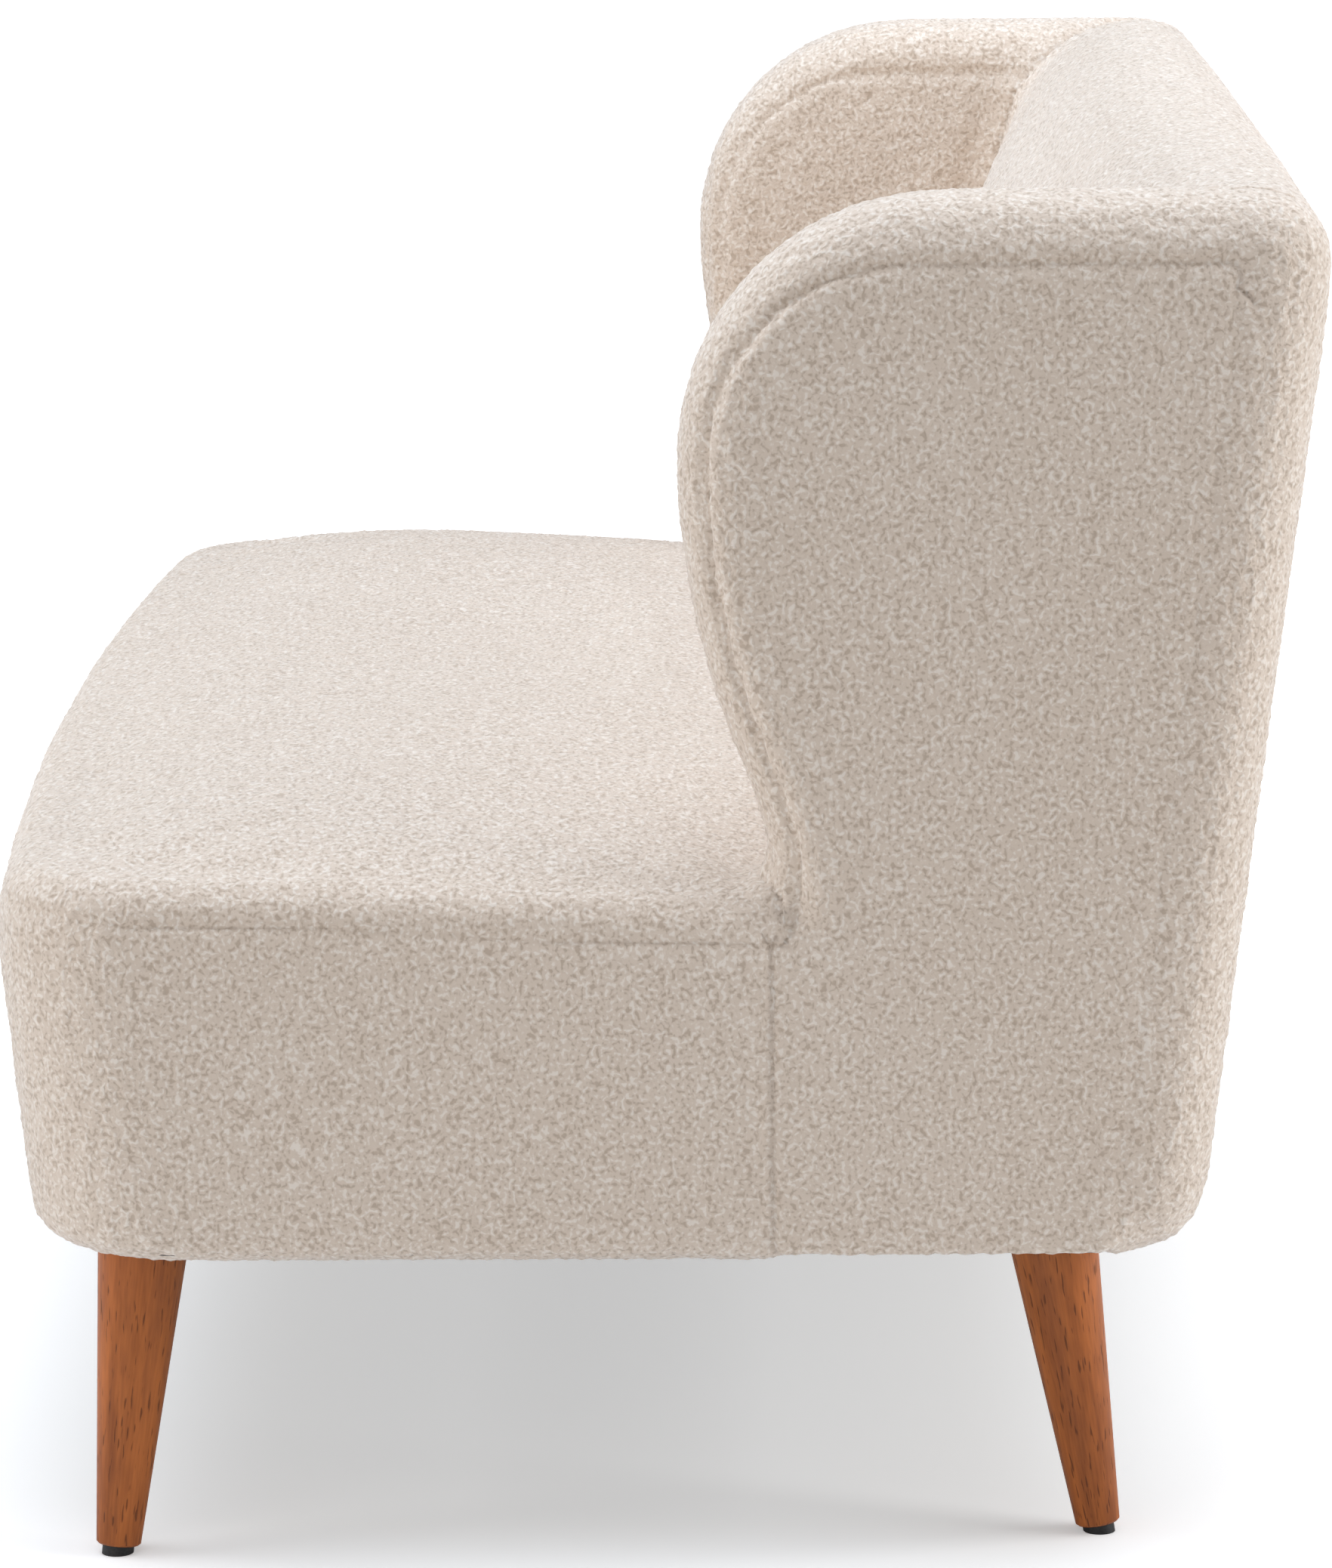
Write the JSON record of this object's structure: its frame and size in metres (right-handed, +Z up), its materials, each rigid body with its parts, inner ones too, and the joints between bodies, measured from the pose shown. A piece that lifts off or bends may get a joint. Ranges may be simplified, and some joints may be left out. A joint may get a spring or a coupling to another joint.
{
  "type": "sofa",
  "caption": "Armless upholstered settee with a crowned bow-fronted seat, a leaning back with ear-shaped wings, curly-pile covers and round tapered splayed wooden legs.",
  "frame": {"origin": "on the floor under the middle of the sofa", "axes": "+X across the seat to the sitter's left, +Y from the front to the back, +Z up"},
  "size_m": [1.27, 0.792, 0.8],
  "materials": {
    "boucle": "cream curly-pile upholstery cloth",
    "foam": null,
    "timber": "planed softwood",
    "plywood": "plywood",
    "leg_wood": "brown hardwood, satin lacquer",
    "steel": "bright zinc plate",
    "glide": "black plastic",
    "webbing": "woven webbing",
    "felt": "pressed felt",
    "dust_cloth": "black spun-bonded cloth"
  },
  "bodies": {
    "root": {"back_board": "plywood", "back_bottom_rail": "timber", "back_foam": "foam", "back_top_rail": "timber", "back_webbing": "webbing", "centre_back_post": "timber", "centre_rail": "timber", "dust_cover": "dust_cloth", "frame_dowels": "timber", "front_rail": "timber", "glide_nails": "steel", "hanger_bolts": "steel", "inside_back_cover": "boucle", "left_back_post": "timber", "left_front_corner_block": "timber", "left_front_glide": "glide", "left_front_leg": "leg_wood", "left_inside_wing_cover": "boucle", "left_outer_side_cover": "boucle", "left_rear_corner_block": "timber", "left_rear_glide": "glide", "left_rear_leg": "leg_wood", "left_side_padding": "foam", "left_side_rail": "timber", "left_wing_band": "boucle", "left_wing_foam": "foam", "left_wing_panel": "plywood", "leg_plates": "steel", "outside_back_cover": "boucle", "outside_back_padding": "foam", "plate_screws": "steel", "rear_rail": "timber", "rear_spring_rail": "timber", "right_back_post": "timber", "right_front_corner_block": "timber", "right_front_glide": "glide", "right_front_leg": "leg_wood", "right_inside_wing_cover": "boucle", "right_outer_side_cover": "boucle", "right_rear_corner_block": "timber", "right_rear_glide": "glide", "right_rear_leg": "leg_wood", "right_side_padding": "foam", "right_side_rail": "timber", "right_wing_band": "boucle", "right_wing_foam": "foam", "right_wing_panel": "plywood", "seat_border_cover": "boucle", "seat_border_padding": "foam", "seat_felt": "felt", "seat_foam": "foam", "seat_springs": "steel", "seat_top_cover": "boucle", "spring_clips": "steel"}
  },
  "joints": []
}
